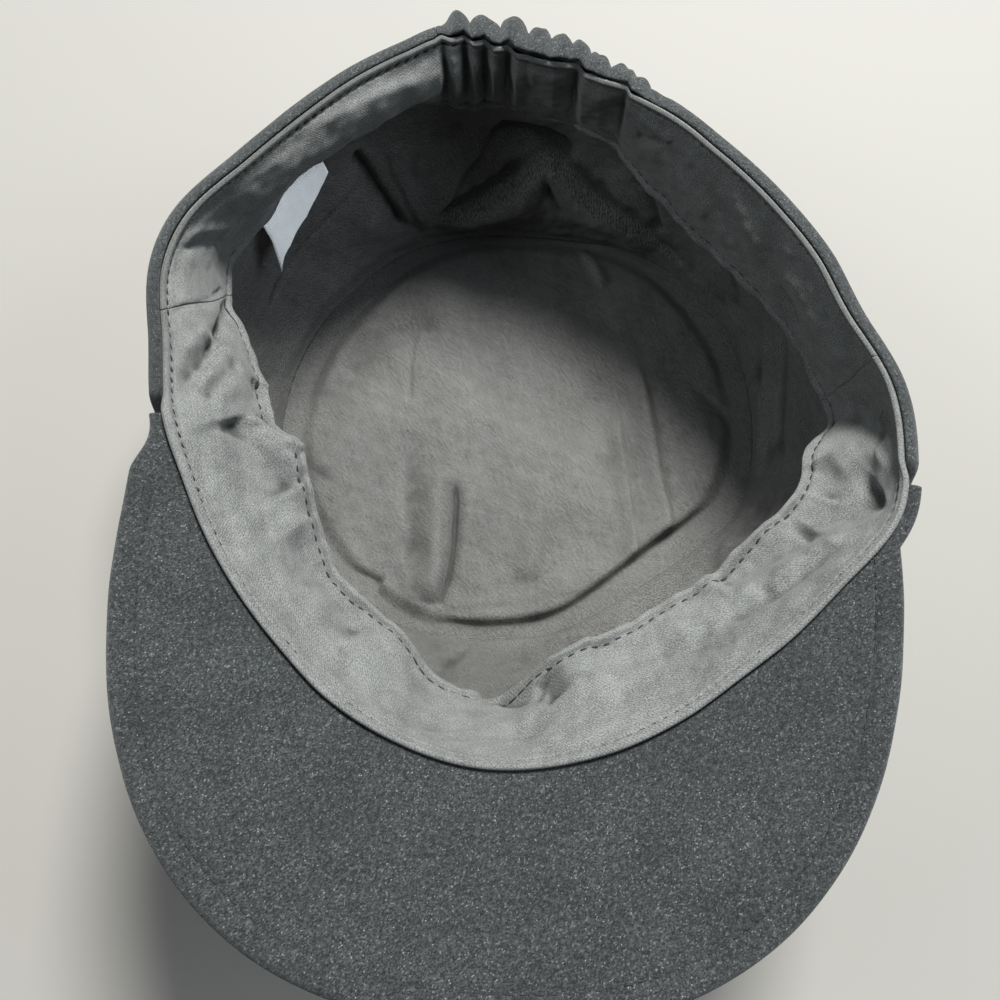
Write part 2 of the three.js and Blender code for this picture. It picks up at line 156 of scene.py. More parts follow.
# Folds: a path over the cloth, how far it stands up, and its reach to the left and right of
# the way that the path runs. On the sweatband a path runs by angle and length down the cloth.
SWEATBAND_FOLDS = [
    ([(358, 33), (355, 20.5), (351, 12), (347, 7)], 1.4, 2.5, 4.0),
    ([(0.5, 25.5), (355.5, 15), (352.5, 10)], -0.9, 6.0, 4.4),
    ([(350, 29.5), (346.5, 24.5), (342.5, 25)], -2.2, 3.2, 4.2),
    ([(334.5, 25), (338.5, 22.5), (342, 15), (345.5, 10.5)], -3.0, 6.5, 4.4),
    ([(318, 29), (324, 27.5), (331, 24), (336.5, 21.5)], -3.6, 5.0, 5.0),
    ([(306, 20), (316, 17), (326, 13), (334, 12)], -2.0, 4.0, 3.0),
    ([(322, 16), (330, 17), (338, 12)], 1.2, 3.0, 3.0),
    ([(288, 30), (296, 25), (304, 18), (312, 11)], -2.2, 3.6, 4.4),
    ([(278.5, 30), (279.5, 25), (280.5, 20.5)], -4.0, 3.0, 2.6),
    ([(266, 33), (271, 30), (275.5, 25.5), (278.5, 24.5)], -2.6, 2.6, 2.0),
    ([(252, 30), (258, 22), (262, 12)], -1.2, 4.0, 5.0),
    ([(216, 24.5), (226, 27), (236, 28.5), (242, 22)], -2.6, 3.6, 4.0),
    ([(210, 10), (222, 14), (236, 18)], 0.9, 5.0, 5.0),
    ([(190, 17), (198, 22.5), (208, 28)], -4.4, 3.4, 8.0),
    ([(189.5, 21), (191, 26), (196, 29.5), (199, 33)], 1.8, 2.2, 2.0),
    ([(178, 30), (184, 28), (190, 29)], -2.6, 3.4, 2.6),
    ([(160, 33), (170, 20), (179, 10.5), (185.5, 4.5)], -3.0, 2.0, 2.8),
    ([(168, 23), (176, 14.5), (182, 8.5)], -1.2, 1.4, 1.4),
    ([(176, 22), (182, 16), (188, 10)], -1.6, 1.8, 2.4),
    ([(173, 10), (174.5, 15), (172.5, 18.5)], 1.2, 1.8, 1.8),
    ([(173.5, 0), (170.5, 6.5), (166, 15.5), (159.5, 27.5)], -0.9, 0.9, 0.9),
    ([(161, 4), (157, 11), (153, 20)], -0.9, 1.2, 1.2),
    ([(159.5, 2), (156.5, 6), (153, 13), (150, 18.5)], 1.0, 1.8, 1.8),
    ([(132, 1.5), (123.5, 6), (116, 7.5), (109.5, 8.5)], 0.9, 2.5, 2.5),
    ([(69, 4.5), (64.5, 5.5), (61.5, 8)], 0.8, 2.0, 2.0),
    ([(68.5, 13), (65, 11.5), (62.5, 9.5)], -0.9, 1.8, 1.8),
    ([(62.5, 13.5), (54.5, 17.5), (48, 21)], 0.9, 2.5, 2.5),
    ([(56.5, 9.5), (49, 13.5), (40.5, 21.5)], -1.0, 2.2, 2.2),
    ([(44, 8.5), (38.5, 11), (34, 15.5)], 0.9, 2.2, 2.2),
    ([(34.5, 11), (26, 20.5), (18.5, 25.5)], -1.2, 2.4, 2.4),
    ([(27.5, 12.5), (21, 13), (14, 15), (6, 13)], 0.9, 3.0, 3.0),
]
FREE_OF_BAND_FOLDS = 106  # an angle that none of them crosses

# On the side lining a path runs by angle and height
LINING_SIDE_FOLDS = [
    ([(124, 50), (123, 38), (122.5, 30), (121.5, 22.5), (121, 13)], -3.4, 3.6, 1.3),
    ([(117.5, 44), (118, 36), (117.5, 26), (116.5, 15)], 1.4, 1.3, 4.0),
    ([(124.5, 36.5), (133, 33), (142, 30), (154, 25.5), (162, 23.5)], -1.4, 0.8, 1.0),
    ([(95, 46), (99.5, 35.5), (105.5, 27.5), (110.5, 21.5), (118, 12)], 3.2, 6.0, 1.2),
    ([(119, 11), (113, 15.5), (108.5, 16.5), (102.5, 18.5), (95.5, 24.5), (91.5, 27.5),
      (89, 32), (85.5, 34.5), (82.5, 34), (78, 30.5), (71.5, 26.5), (65, 24), (53.5, 15),
      (41, 9)], 6.5, 7.5, 1.4),
    ([(101, 38), (96, 41), (91, 42), (86, 41), (80, 38)], -3.4, 3.5, 3.5),
    ([(114.5, 17.5), (108, 19.5), (102, 22), (96, 27), (91.5, 31.5)], -1.6, 0.9, 0.9),
    ([(86, 34.5), (85, 29.5), (83, 24.5), (80, 19.5)], -1.6, 1.0, 1.6),
    ([(22, 27), (12.5, 16), (1.5, 9.5), (349.5, 8)], 1.8, 2.5, 2.5),
    ([(19, 36), (12.5, 27.5), (4.5, 20.5), (354.5, 17.5)], -1.8, 2.0, 2.6),
    ([(262, 6), (258, 24), (256, 44)], -2.0, 2.0, 2.5),
    ([(282, 6), (286, 20), (288, 40)], 2.0, 2.5, 2.5),
    ([(300, 8), (306, 18), (312, 34)], -2.0, 2.5, 2.5),
    ([(330, 8), (334, 20), (336, 40)], 1.8, 3.0, 3.0),
    ([(218, 6), (214, 20), (212, 44)], -2.0, 2.5, 2.5),
    ([(236, 8), (232, 26), (233, 46)], 1.8, 3.0, 3.0),
    ([(182, 8), (186, 24), (188, 44)], 1.8, 3.0, 2.4),
    ([(30, 16), (38, 28), (44, 44)], -1.6, 2.4, 2.4),
    ([(56, 22), (60, 32), (66, 42)], -2.0, 2.0, 3.0),
]
FREE_OF_LINING_FOLDS = 200

# On the crown's lining a path runs across and along the cap
LINING_TOP_FOLDS = [
    ([(17, 70), (20, 63), (24, 57), (28, 49)], 1.8, 2.5, 1.2),
    ([(-32, 70), (-22, 67), (-12, 66), (-5, 65), (3, 67), (10, 72)], -1.6, 2.5, 2.0),
    ([(39, 22), (43, 8), (46, -11), (50, -28), (52, -41)], 2.2, 1.2, 5.0),
    ([(33, 5), (36, -14), (39, -32), (41, -49)], 1.5, 1.1, 3.6),
    ([(56, 17), (68, 8), (75, 0), (77, -10), (75, -18), (66, -28), (54, -42)], -1.5, 1.2, 2.4),
    ([(-23, -16), (-22.5, -33), (-22, -46), (-23, -60)], 3.0, 3.4, 5.0),
    ([(-18, -20), (-17, -29), (-17, -41), (-18, -52), (-21, -61)], -2.0, 1.8, 1.2),
    ([(-32, -4), (-33, -27), (-30, -48)], -1.2, 3.5, 3.5),
    ([(-52, -50), (-45, -52), (-38, -55)], -2.6, 1.6, 3.0),
    ([(-45, -57), (-38, -59)], -1.8, 1.4, 1.4),
    ([(-22, -63), (-16, -62), (-8, -61), (5, -59), (17, -56), (29, -54)], -0.5, 1.2, 1.8),
    ([(-56, 14), (-49, 24), (-41, 29), (-26, 33)], -1.6, 4.0, 4.0),
    ([(-34, 32), (-35, 20), (-34, 5)], -0.8, 0.8, 0.8),
    ([(-62, -20), (-52, -4), (-46, 12)], 1.4, 5.0, 5.0),
    ([(6, -52), (10, -36), (8, -16)], 1.2, 4.0, 3.0),
    ([(62, -20), (60, -6), (62, 8)], 1.0, 4.0, 4.0),
]

LABEL_START = 128.6  # degrees round the sweatband
LABEL_END = 144
LABEL_TOP = 29  # down the sweatband from its folded edge
LABEL_TAPE = 0.5  # thickness
LABEL_LONGEST = 18
LABEL_LENGTHS = [  # share of the way across it, length
    (0, 8.2), (0.1, 10), (0.25, 12), (0.5, 14), (0.94, 14.5), (1, LABEL_LONGEST),
]
LABEL_CURL = [(0, 0), (3.5, -0.5), (6.5, 2.2), (10, 4), (14, 6), (18, 8)]  # down, inwards

ONE_RIB = 0.314  # the scale of a wave texture that gives one rib to a unit


def around(rows, angle):
    """The value at each angle on a smooth closed curve through rows of (angle, value)."""
    at, value = np.array(rows, float).T
    at = np.concatenate((at[-2:] - 360, at, at[:2] + 360))
    value = np.concatenate((value[-2:], value, value[:2]))
    slope = np.zeros_like(value)
    slope[1:-1] = (value[2:] - value[:-2]) / (at[2:] - at[:-2])
    where = np.asarray(angle, float) % 360
    i = np.searchsorted(at, where, side="right") - 1
    span = at[i + 1] - at[i]
    t = (where - at[i]) / span
    rise = value[i + 1] - value[i]
    low, high = slope[i] * span, slope[i + 1] * span
    return value[i] + t * (low + t * (3 * rise - 2 * low - high + t * (low + high - 2 * rise)))


def smooth(t):
    """0 below 0 and 1 above 1, with a soft step between."""
    t = np.clip(t, 0, 1)
    return t * t * (3 - 2 * t)


def bump(distance, reach):
    """1 at no distance, falling softly to 0 past the reach."""
    return np.exp(-((distance / reach) ** 2))


def turn(angle, centre):
    """The angle from centre, from -180 to 180."""
    return (angle - centre + 180) % 360 - 180


def rumple(x, y, size, start=0.0):
    """Soft uneven waves from about -1 to 1, roughly size across."""
    total = 0 * x
    for k in range(6):
        way = 2.4 * k + start
        wave = (x * math.cos(way) + y * math.sin(way)) * (1 + 0.19 * k) / size
        total = total + np.sin(2 * math.pi * wave + 1.7 * k * k + 3 * start)
    return total / 3.2


def round_rumple(angle, along, size, start=0.0):
    """Rumples on a cloth that goes round the cap and meets itself at 0 degrees."""
    at = angle % 360
    near = smooth((at - 330) / 30)
    one = rumple(at * ROUND, along, size, start)
    other = rumple((at - 360) * ROUND, along, size, start)
    return one + near * (other - one)


def fold_rise(x, y, folds):
    """How far the folds lift a cloth at its points."""
    total = np.zeros_like(x)
    for path, height, left, right in folds:
        line = np.array(path, float)
        for _ in range(2):
            cut = [line[0]]
            for a, b in zip(line[:-1], line[1:]):
                cut += [0.75 * a + 0.25 * b, 0.25 * a + 0.75 * b]
            line = np.array(cut + [line[-1]])
        nearest = np.full_like(x, np.inf)
        side = np.zeros_like(x)
        along = np.zeros_like(x)
        for k, (a, b) in enumerate(zip(line[:-1], line[1:])):
            step = b - a
            off_x, off_y = x - a[0], y - a[1]
            t = np.clip((off_x * step[0] + off_y * step[1]) / (step @ step), 0, 1)
            off_x, off_y = off_x - t * step[0], off_y - t * step[1]
            distance = np.hypot(off_x, off_y)
            nearer = distance < nearest
            nearest = np.where(nearer, distance, nearest)
            side = np.where(nearer, step[0] * off_y - step[1] * off_x, side)
            along = np.where(nearer, (k + t) / (len(line) - 1), along)
        ends = smooth(along / 0.22) * smooth((1 - along) / 0.22)
        total += height * ends * bump(nearest, np.where(side > 0, left, right))
    return total


def round_fold_rise(angle, along, folds, free):
    """How far folds lift a cloth that goes round the cap. None of them crosses the free angle."""
    laid = []
    for path, *shape in folds:
        laid.append(([((at - free) % 360 * ROUND, down) for at, down in path], *shape))
    return fold_rise((angle - free) % 360 * ROUND, along + 0 * angle, laid)


def outward(angle):
    """The level direction out from the middle of the cap."""
    a = np.radians(angle)
    return np.stack((np.cos(a), np.sin(a), 0 * a), -1)


def top_radius(angle):
    """Distance from the middle to the crown top's seam, an oval."""
    a = np.radians(angle)
    across = np.abs(np.cos(a)) / TOP_HALF_WIDTH
    along = np.abs(np.sin(a)) / TOP_HALF_LENGTH
    return (across**TOP_ROUNDNESS + along**TOP_ROUNDNESS) ** (-1 / TOP_ROUNDNESS)


def rim_point(angle, inset, drop):
    """A point so far in from the sweatband's folded edge and so far below it."""
    point = outward(angle) * (around(RIM_RADIUS, angle) - inset)[..., None]
    point[..., 1] += RIM_CENTRE_Y
    point[..., 2] = around(RIM_HEIGHT, angle) - drop
    return point


def wall_point(angle, z, depth):
    """A point of the wool wall at height z, so far inside its outer face."""
    top = rim_point(angle, -RIM_EDGE + 0 * z, 0)
    share = (z - CROWN_EDGE_Z) / (top[..., 2] - CROWN_EDGE_Z)
    out = around(WALL_BELLY, angle) * 4 * share * (1 - share) - depth
    for at, height, wide, tall, far in CROWN_FOLDS:
        reach = np.exp(-((turn(angle, at) / wide) ** 2) - ((z - height) / tall) ** 2)
        out = out + far * reach * smooth(z / 14)
    way = outward(angle)
    foot = way * top_radius(angle)[..., None]
    point = foot + (top - foot) * share[..., None] + way * out[..., None]
    point[..., 2] = z
    return point


def seam_height(angle):
    """Height of the seam between the crown's sides and the outer band."""
    return around(RIM_HEIGHT, angle) - BAND_HEIGHT


def over_peak(angle):
    """1 where the peak is sewn to the rim, 0 round the back."""
    at = angle % 360
    return smooth((at - PEAK_START + 3.5) / 3.5) - smooth((at - PEAK_END) / 3.5)


def band_top(angle):
    """The outer band ends at the rim, or under the root of the peak."""
    drop = over_peak(angle) * (PEAK_DROP + PEAK_THICKNESS + GAP)
    return around(RIM_HEIGHT, angle) - drop


def gathered(angle):
    """1 where the back is gathered, 0 elsewhere."""
    return smooth((angle - GATHER_START) / 4) * smooth((GATHER_END - angle) / 4)


def puff_out(angle):
    """How far the gathered wool stands out: round puffs with sharp valleys between them."""
    bulges = [
        out * np.sqrt(np.maximum(0, 1 - ((angle - at) / half) ** 2)) for at, half, out in PUFFS
    ]
    return gathered(angle) * np.max(bulges, axis=0)


def edge_round(distance, thickness):
    """The share of a cloth's thickness that is left this far from its rounded edge."""
    inside = np.minimum(distance / (thickness / 2), 1)
    return np.sqrt(np.maximum(0, 1 - (1 - inside) ** 2))


def two_faces(v):
    """Turns a way round a flat section into the share across it and the side, 1 or -1."""
    return (1 - np.cos(2 * math.pi * v)) / 2, np.where(v < 0.5, 1.0, -1.0)


def between_seams(start, end, u):
    """The angle at a share of the way between two seams, just clear of both."""
    return start + SEAM_GAP + (end - start - 2 * SEAM_GAP) * u


def blurred(values, reach):
    """A grid of values with each one the mean of those so near to it."""
    for axis in (0, 1):
        padded = np.pad(values, [(reach, reach) if k == axis else (0, 0) for k in range(3)], "edge")
        total = np.cumsum(padded, axis)
        first = np.take(total, range(2 * reach, total.shape[axis]), axis)
        start = np.take(total, range(total.shape[axis] - 2 * reach), axis)
        values = (first - start + np.take(padded, range(first.shape[axis]), axis)) / (2 * reach + 1)
    return values


def hollows(grid):
    """About how many millimetres each point of a grid lies below the cloth near it."""
    face = np.cross(np.gradient(grid, axis=1), np.gradient(grid, axis=0))
    face /= np.maximum(np.linalg.norm(face, axis=2, keepdims=True), 1e-9)
    # Broad hollows show against a wide mean, and creases against a narrow one
    wide = ((blurred(grid, 7) - grid) * face).sum(2)
    near = ((blurred(grid, 2) - grid) * face).sum(2)
    return blurred((wide + 2 * near)[..., None], 1)[..., 0]


def run_along(grid, axis):
    """Millimetres along the cloth to each row or column of a grid."""
    steps = np.linalg.norm(np.diff(grid, axis=axis), axis=2).mean(1 - axis)
    return np.concatenate(([0], np.cumsum(steps)))


def placed(name, bm):
    """A smooth object in the scene, made of a bmesh."""
    mesh = bpy.data.meshes.new(name)
    bm.to_mesh(mesh)
    bm.free()
    mesh.shade_smooth()
    piece = bpy.data.objects.new(name, mesh)
    bpy.context.scene.collection.objects.link(piece)
    return piece


def cloth(name, across, up, shape, tube=False, plan=False):
    """A grid of cloth, so many faces across and up, laid to shape(u, v) in millimetres.

    A tube is a closed piece whose section starts and ends in one place. The weave is measured
    along the cloth, or with plan as seen from above, in metres. Each point keeps its hollow.
    """
    bm = bmesh.new()
    bm.loops.layers.uv.new("cloth")
    depth_layer = bm.verts.layers.float.new("hollow")
    bmesh.ops.create_grid(bm, x_segments=across, y_segments=up, size=0.5, calc_uvs=True)
    flat = np.array([vert.co[:2] for vert in bm.verts]) + 0.5
    column, row = np.rint(flat * (across, up)).astype(int).T
    places = shape(flat[:, 0], flat[:, 1])
    grid = np.zeros((up + 1, across + 1, 3))
    grid[row, column] = places
    for vert, place, depth in zip(bm.verts, places * MM, hollows(grid)[row, column]):
        vert.co = place
        vert[depth_layer] = depth
    bmesh.ops.remove_doubles(bm, verts=bm.verts, dist=MERGE * MM)
    open_edges = [edge for edge in bm.edges if edge.is_boundary]
    if tube and open_edges:
        bmesh.ops.holes_fill(bm, edges=open_edges, sides=0)
    if tube:
        bmesh.ops.recalc_face_normals(bm, faces=bm.faces)
    piece = placed(name, bm)
    mesh = piece.data
    layer = mesh.uv_layers["cloth"]
    weave = np.zeros(len(mesh.loops) * 2)
    layer.data.foreach_get("uv", weave)
    weave = weave.reshape(-1, 2)
    for axis, count in ((1, across), (0, up)):
        share = np.linspace(0, 1, count + 1)
        weave[:, 1 - axis] = np.interp(weave[:, 1 - axis], share, run_along(grid, axis) * MM)
    if plan:
        places = np.zeros(len(mesh.vertices) * 3)
        mesh.vertices.foreach_get("co", places)
        corners = np.zeros(len(mesh.loops), int)
        mesh.loops.foreach_get("vertex_index", corners)
        weave = places.reshape(-1, 3)[corners, :2]
    layer.data.foreach_set("uv", weave.ravel())
    return piece


def thicken(piece):
    """Gives a lining its thickness, half to each side."""
    layer = piece.modifiers.new("cloth thickness", "SOLIDIFY")
    layer.thickness = LINING_CLOTH * MM
    layer.offset = 0
    return piece


def sew_in(piece, finish, slot, *nodes):
    """Gives a piece its finish and ties it to the cap."""
    piece.data.materials.append(finish)
    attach(piece, "root")
    if nodes:
        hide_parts(*nodes)
    return piece


# Wool pieces


def crown_side(name, start, end):
    def shape(u, v):
        angle = between_seams(start, end, u)
        share, side = two_faces(v)
        top = seam_height(angle) - GAP
        z = CROWN_EDGE_Z + (top - CROWN_EDGE_Z) * share
        half = WOOL / 2 * edge_round(z - CROWN_EDGE_Z, WOOL) * edge_round(top - z, WOOL)
        arc = angle * ROUND
        held = smooth((z - 3) / 9)
        pucker = 0.5 * bump(top - z, 5) * np.sin(arc * 1.1 + rumple(arc, z, 30))
        slack = held * (0.7 * rumple(arc, z, 34) + 0.3 * rumple(arc, z, 13, 1)) + pucker
        return wall_point(angle, z, WOOL / 2 - side * half + np.abs(slack) * 0.5 - slack * 0.5)

    return cloth(name, round((end - start) * 1.1), 80, shape, tube=True)


def crown_top():
    def shape(u, v):
        angle = 360 * u
        share = 1 - np.abs(2 * v - 1)
        full = top_radius(angle) - WOOL - GAP
        radius = full * np.sin(share * math.pi / 2)
        half = WOOL / 2 * np.where(share < 1, edge_round(full - radius, WOOL), 0)
        point = outward(angle) * radius[..., None]
        point[..., 2] = WOOL / 2 + np.where(v < 0.5, -half, half)
        return point

    return cloth("crown_top_wool", 160, 48, shape, tube=True, plan=True)


def pleats_in(angle):
    """How far in the pleats of the sweatband's back lie."""
    return np.interp(angle % 360, *zip(*PLEATS))


def band_section(angle, v, out, rise):
    """The outer band's wool from the crown's seam up to its turned-in edge at the rim.

    out and rise are how far it stands out and up beyond the plain band.
    """
    share, side = two_faces(v)
    seam = seam_height(angle)
    top = band_top(angle) + HEM_RISE * (1 - over_peak(angle)) + rise
    z = seam + (top - seam) * share
    thick = WOOL + (HEM - WOOL) * smooth((z - top + HEM_HEIGHT) / 0.8)
    thick = thick + out * smooth((z - top + 12) / 8)
    half = thick / 2 * edge_round(z - seam, WOOL)
    # The outer face rolls over to the inner one, which stays close behind the sweatband
    rolled = (side > 0) * 2 * half * (1 - edge_round(top - z, 1.6 * HEM + out))
    groove = 0.35 * bump(top - z - HEM_GROOVE, 0.7) * (side > 0)
    held = smooth((z - seam) / 6) * smooth((top - z) / 8)
    slack = 0.35 * round_rumple(angle, z, 24, 2) * held
    lean = (HEM_LEAN + FOLD_PLEATS * pleats_in(angle)) * smooth(1 - (top - z) / 3)
    lean = lean * (1 - over_peak(angle))
    depth = thick / 2 - side * half + rolled + groove + lean - np.minimum(slack, 0) - out
    return wall_point(angle, z, depth)


def outer_band():
    def shape(u, v):
        return band_section(between_seams(GATHER_END, GATHER_START + 360, u), v, 0, 0)

    return cloth("outer_band_wool", 440, 80, shape, tube=True)


def back_gather():
    def shape(u, v):
        angle = between_seams(GATHER_START, GATHER_END, u)
        share = two_faces(v)[0]
        puffs = puff_out(angle)
        wrinkles = 0.8 * rumple(angle * 1.6, share * 38, 7, 3) * np.minimum(puffs, 2) / 2 * share
        out = np.maximum(0, puffs * (0.35 + 0.65 * smooth(share)) + wrinkles)
        rise = 0.4 * puffs + 0.3 * rumple(angle * 1.6, 0 * angle, 8, 1) * gathered(angle)
        return band_section(angle, v, out, rise - 0.4 * gathered(angle))

    return cloth("back_gather_wool", 300, 110, shape, tube=True)


def edge_distance(x, y):
    """How far a point of the peak is from its outline."""
    across = np.abs(x - PEAK_CENTRE[0]) / PEAK_HALF_WIDTH
    along = np.abs(y - PEAK_CENTRE[1]) / PEAK_LENGTH
    power = PEAK_ROUNDNESS
    level = (across**power + along**power) ** (1 / power)
    slope_x = (across / level) ** (power - 1) / PEAK_HALF_WIDTH
    slope_y = (along / level) ** (power - 1) / PEAK_LENGTH
    return (1 - level) / np.maximum(np.hypot(slope_x, slope_y), 1e-9)


def peak_reach(angle):
    """How far the peak reaches from its root, by halving."""
    reach = np.zeros_like(angle)
    part = PEAK_LENGTH / 2
    while part > 0.01:
        point = rim_point(angle, -GAP - reach - part, 0)
        reach = reach + part * (edge_distance(point[..., 0], point[..., 1]) > 0)
        part /= 2
    # Its ends run out into the band's wool
    full = smooth((angle - PEAK_START) / 9) * smooth((PEAK_END - angle) / 9)
    wool_edge = RIM_EDGE - GAP
    return wool_edge + full * np.maximum(0, reach - wool_edge)


def peak_point(angle, out, lift):
    """A point so far out from the peak's root and so far above its middle."""
    point = rim_point(angle, -GAP - out, PEAK_DROP + PEAK_THICKNESS / 2 - PEAK_SLOPE * out)
    point[..., 2] += lift
    return point


def peak_top_lift(angle, out, reach):
    """Height of the peak's upper face over its middle."""
    point = rim_point(angle, -GAP - out, 0)
    edge = np.maximum(edge_distance(point[..., 0], point[..., 1]), 0)
    wide = smooth((reach - 8) / 8)  # its seam fades where the peak is narrow
    # Its root stays thick past the outline, where the rim stands wider than the peak
    left = np.minimum(np.maximum(edge, RIM_EDGE - GAP - out), reach - out)
    half = PEAK_THICKNESS / 2 * edge_round(left, PEAK_THICKNESS) * edge_round(out, 0.6)
    strip = 0.25 * smooth((PEAK_SEAM - edge) / 1.2) * smooth(edge / 2)
    groove = 0.55 * bump(edge - PEAK_SEAM, 0.55)
    return half + wide * (strip - groove)


def peak():
    def shape(u, v):
        angle = PEAK_START + (PEAK_END - PEAK_START) * u
        reach = peak_reach(angle)
        side = np.where(v < 0.5, 1.0, -1.0)
        share = np.sin((1 - np.abs(2 * v - 1)) * math.pi / 2) ** 1.5
        out = reach * share
        lift = side * peak_top_lift(angle, out, reach)
        soft = 0.25 * rumple(out, angle * 1.8, 26, 1) * smooth(out / 6)
        return peak_point(angle, out, lift + soft)

    return cloth("peak_wool", 380, 150, shape, tube=True, plan=True)


# Sweatband


def slanted(angle, along):
    """The sweatband's cloth runs aslant with its left seam."""
    near = bump(turn(angle, LEFT_SEAM), SLANT_REACH)
    return angle - LEFT_SEAM_SLANT * near * along / SWEATBAND_WIDTH


def tilt_at(angle, along):
    """The sweatband's angle from upright, in radians."""
    lean = around(SWEATBAND_LEAN, angle) * (0.6 + 0.45 * smooth((along - 3) / 16))
    return np.radians(lean + around(SWEATBAND_ROLL, angle) * (1 - 1.6 * smooth((along - 6) / 13)))


def hang(angle, along):
    """Inset, drop and tilt of the sweatband so far down the cloth from its folded edge."""
    inset, drop = 0 * angle, 0 * angle
    steps = 24
    for k in range(steps):
        tilt = tilt_at(angle, (k + 0.5) * along / steps)
        inset = inset + along / steps * np.sin(tilt)
        drop = drop + along / steps * np.cos(tilt)
    return inset, drop, tilt_at(angle, along)


def sweatband_point(angle, along, side=1.0):
    """A point on the sweatband's face (side 1) or back (side -1)."""
    inset, drop, tilt = hang(angle, along)
    left = SWEATBAND_WIDTH - along
    half = BAND_CLOTH / 2 * edge_round(along, BAND_CLOTH) * edge_round(left, BAND_CLOTH)
    soft = 0.45 * round_rumple(angle, along, 19) + 0.16 * round_rumple(angle, along, 7, 2)
    folds = round_fold_rise(angle, along, SWEATBAND_FOLDS, FREE_OF_BAND_FOLDS)
    body = (folds + soft) * smooth((along - 1) / 6)
    # Its two edges stand up beside the grooves of their stitches
    lip = 0.2 * smooth((1.8 - along) / 0.5) + 0.6 * smooth((2.0 - left) / 0.4)
    grooves = 0.75 * bump(along - RIM_ROW, 0.4) + 0.45 * bump(along - RIM_ROW - 1.4, 2)
    grooves = grooves + 0.7 * bump(left - FREE_ROW, 0.5)
    pits = 0.2 * bump(along - RIM_ROW, 0.7) * (1 + np.cos(2 * math.pi * angle / PIT_PITCH))
    # The pleats are deepest below the fold, and open out towards the free edge
    drawn = (1 - FOLD_PLEATS) * smooth((along - 1) / 7) - 0.75 * smooth((along - 16) / 15)
    gather = pleats_in(angle) * (FOLD_PLEATS + drawn)
    face = (side > 0) * smooth(along / 0.5) * smooth(left / 0.5)
    off = BAND_CLOTH / 2 + 0.1 + body + side * half + face * (lip - grooves - pits)
    # Over the peak its fold turns out a little, and round the back it lies lower
    peak_side = over_peak(angle)
    turned_out = peak_side * smooth(1.8 - along)
    inset = inset + off * np.cos(tilt) + gather - 0.8 * turned_out
    drop = drop - off * np.sin(tilt) - 0.3 * turned_out
    return rim_point(angle, inset, drop + FOLD_DROP * (1 - peak_side) * smooth(1 - along / 12))


def sweatband(name, start, end, across):
    def shape(u, v):
        angle = between_seams(start, end, u)
        on_back = 0.5 + (v - FACE_ROWS) / (2 - 2 * FACE_ROWS)
        share, side = two_faces(np.where(v < FACE_ROWS, v / (2 * FACE_ROWS), on_back))
        along = SWEATBAND_WIDTH * share
        return sweatband_point(slanted(angle, along), along, side)

    return cloth(name, across, 132, shape, tube=True)


# Lining


def front_flap(angle):
    """1 where the side lining's foot lies loose over the crown's lining."""
    at = angle % 360
    return smooth((at - 250) / 8) * smooth((342 - at) / 8)


def lining_side():
    def shape(u, v):
        # The columns lie closer together at the back, where the folds are
        angle = 360 * (u + 0.08 * np.sin(2 * math.pi * (u + 0.2)))
        top = band_top(angle) - HEM_HEIGHT - GAP
        foot = LINING_FOOT_Z
        z = foot + (top - foot) * (1 - v) ** 1.2
        held = smooth((z - foot) / 6)
        drape = round_fold_rise(angle, z, LINING_SIDE_FOLDS, FREE_OF_LINING_FOLDS)
        back = smooth((angle % 360 - 50) / 15) * smooth((175 - angle % 360) / 15)
        slack = 1.0 + 2.4 * back * smooth((top - z) / 20)
        slack = slack + 0.5 * round_rumple(angle, z * 0.7, 26) + 0.2 * round_rumple(angle, z, 9, 1)
        waves = np.sin(np.radians(FOOT_PUCKERS * angle) + 2 * round_rumple(angle, z, 40))
        pucker = 0.12 * bump(z - foot, 5) * waves
        tuck = around(LINING_TUCK, angle) * np.exp(-((np.maximum(z - foot, 0) / 7) ** 1.3))
        inside = WOOL + GAP + 0.5 + np.maximum(0, tuck + held * (slack + drape) + pucker)
        point = wall_point(angle, z, inside)
        # At the front its foot stands up off the crown's lining
        point[..., 2] += front_flap(angle) * bump(z - foot, 3)
        return point

    return thicken(cloth("lining_side_cloth", 420, 90, shape))


def lining_top():
    def shape(u, v):
        # A square grid pressed to a disc, then to the crown's oval
        x, y = 2 * u - 1, 2 * v - 1
        x, y = x * np.sqrt(1 - y * y / 2), y * np.sqrt(1 - x * x / 2)
        angle = np.degrees(np.arctan2(y, x))
        share = np.hypot(x, y)
        radius = share * (top_radius(angle) - WOOL - 2 * GAP)
        x, y = radius * np.cos(np.radians(angle)), radius * np.sin(np.radians(angle))
        # It lies free up to the foot of the side lining, which holds it down
        past = share * top_radius(angle) + around(LINING_TUCK, angle) - HELD_RADIUS
        flap = front_flap(angle)
        free = 1 - smooth((past + 1.5 * flap) / (5 - 3 * flap) + 0.6)
        rise = 1.9 + fold_rise(x, y, LINING_TOP_FOLDS)
        rise = rise + 0.5 * rumple(x, y, 34) + 0.15 * rumple(x, y, 11, 1)
        rise = rise + 1.4 * flap * bump(past + 4, 4.5)
        return np.stack((x, y, LINING_TOP_Z + np.maximum(0, free * rise)), -1)

    return thicken(cloth("lining_top_cloth", 190, 190, shape, plan=True))


